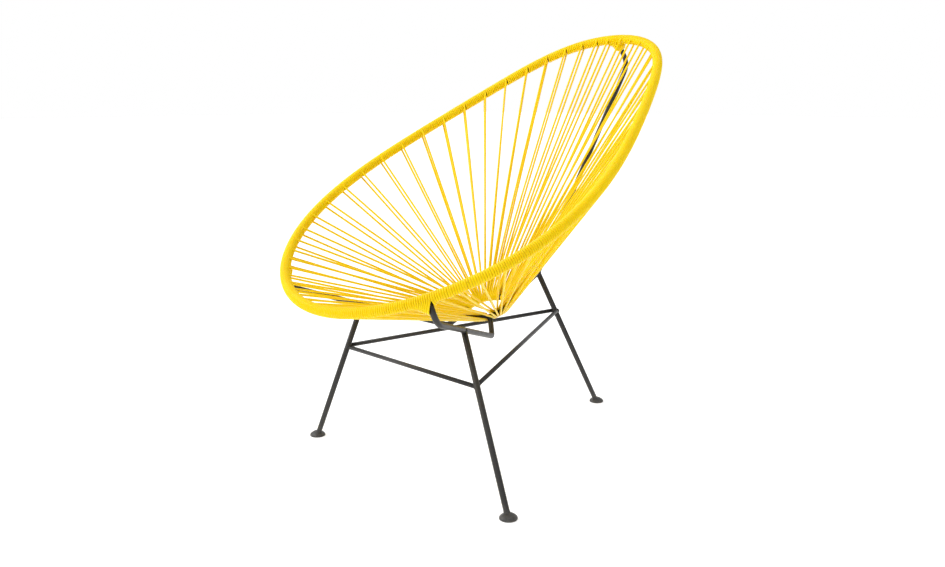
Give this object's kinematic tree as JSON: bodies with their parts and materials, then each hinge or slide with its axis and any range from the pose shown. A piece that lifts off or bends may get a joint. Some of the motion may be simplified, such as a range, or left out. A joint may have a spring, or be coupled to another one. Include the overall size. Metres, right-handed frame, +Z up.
{
  "type": "acapulco chair",
  "caption": "Lounge chair: an egg-shaped steel rim wound in plastic cord and strung tight to a small hub ring as a bucket seat, on bent rods and splayed, braced legs with round feet.",
  "frame": {"origin": "on the floor, under the middle of the chair's bounding box", "axes": "+Z up, the sitter faces -Y, +X is the sitter's left"},
  "size_m": [0.7082, 0.9334, 0.9021],
  "materials": {
    "frame_steel": "satin charcoal powder coat",
    "foot_steel": "satin charcoal powder coat",
    "cord": "satin yellow plastic cord"
  },
  "bodies": {
    "root": {"rim": "frame_steel", "hub_ring": "frame_steel", "support_rod_rear": "frame_steel", "leg_rear": "frame_steel", "support_rod_left": "frame_steel", "leg_left": "frame_steel", "support_rod_right": "frame_steel", "leg_right": "frame_steel", "stretcher_front": "frame_steel", "stretcher_left": "frame_steel", "stretcher_right": "frame_steel", "foot_rear": "foot_steel", "foot_left": "foot_steel", "foot_right": "foot_steel", "cord_rear": "cord", "cord_left_1": "cord", "cord_left_2": "cord", "cord_left_3": "cord", "cord_left_4": "cord", "cord_left_rod": "cord", "cord_front_left": "cord", "cord_front_right": "cord", "cord_right_rod": "cord", "cord_right_4": "cord", "cord_right_3": "cord", "cord_right_2": "cord", "cord_right_1": "cord"}
  },
  "joints": []
}
